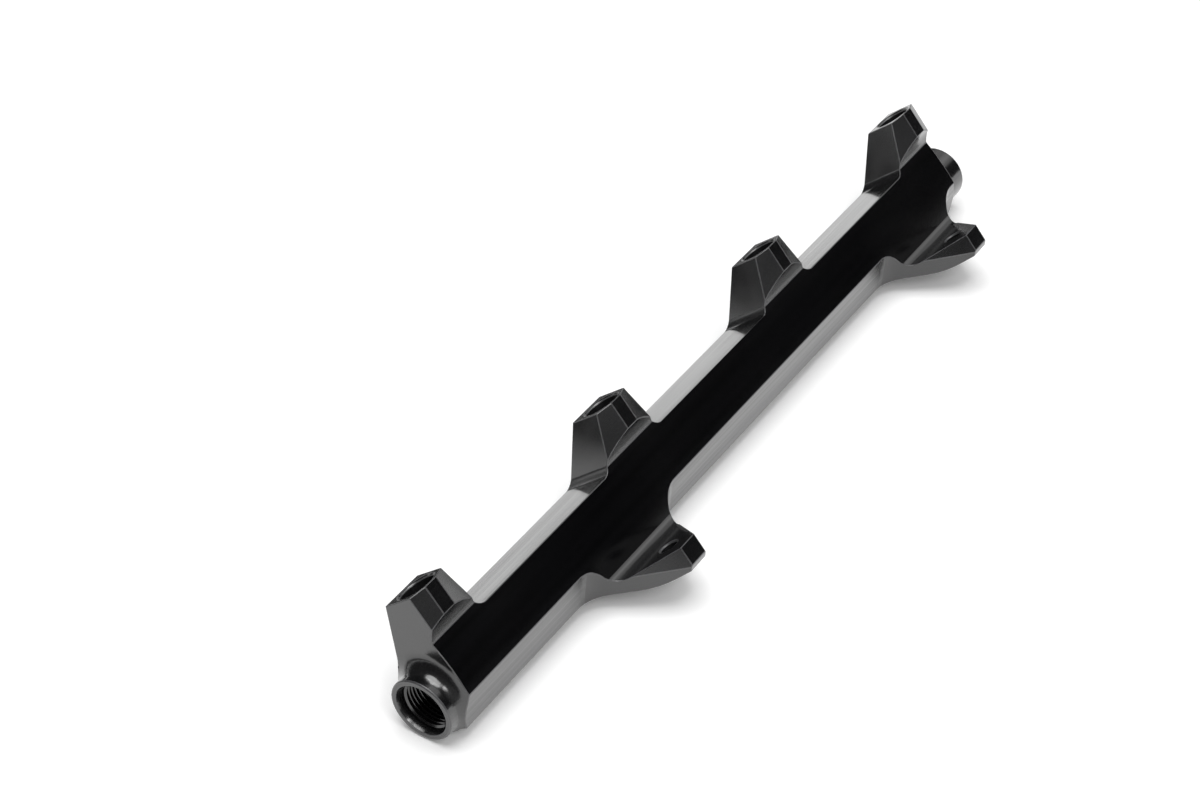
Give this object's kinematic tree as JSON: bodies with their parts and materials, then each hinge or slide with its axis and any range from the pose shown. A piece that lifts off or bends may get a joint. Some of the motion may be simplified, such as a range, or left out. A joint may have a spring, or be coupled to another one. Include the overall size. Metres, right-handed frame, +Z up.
{
  "type": "fuel rail",
  "caption": "Straight fuel rail milled from a solid aluminium bar, with tapered injector bosses on one side, bolt ears on the other and a threaded port at each end.",
  "frame": {"origin": "on the flat land the rail rests on, under the fuel bore's axis and half way between the two flat ends of the bar (the port necks not counted)", "axes": "+X along the fuel bore from the near port to the far port, +Z up from the surface the rail rests on, +Y to the injector side; the injector bores point out between +Y and +Z"},
  "size_m": [0.3762, 0.0622, 0.0553],
  "materials": {
    "anodised_black": "satin black anodised, over fine milled and drawn surfaces"
  },
  "bodies": {
    "root": {"rail_body": "anodised_black"}
  },
  "joints": []
}
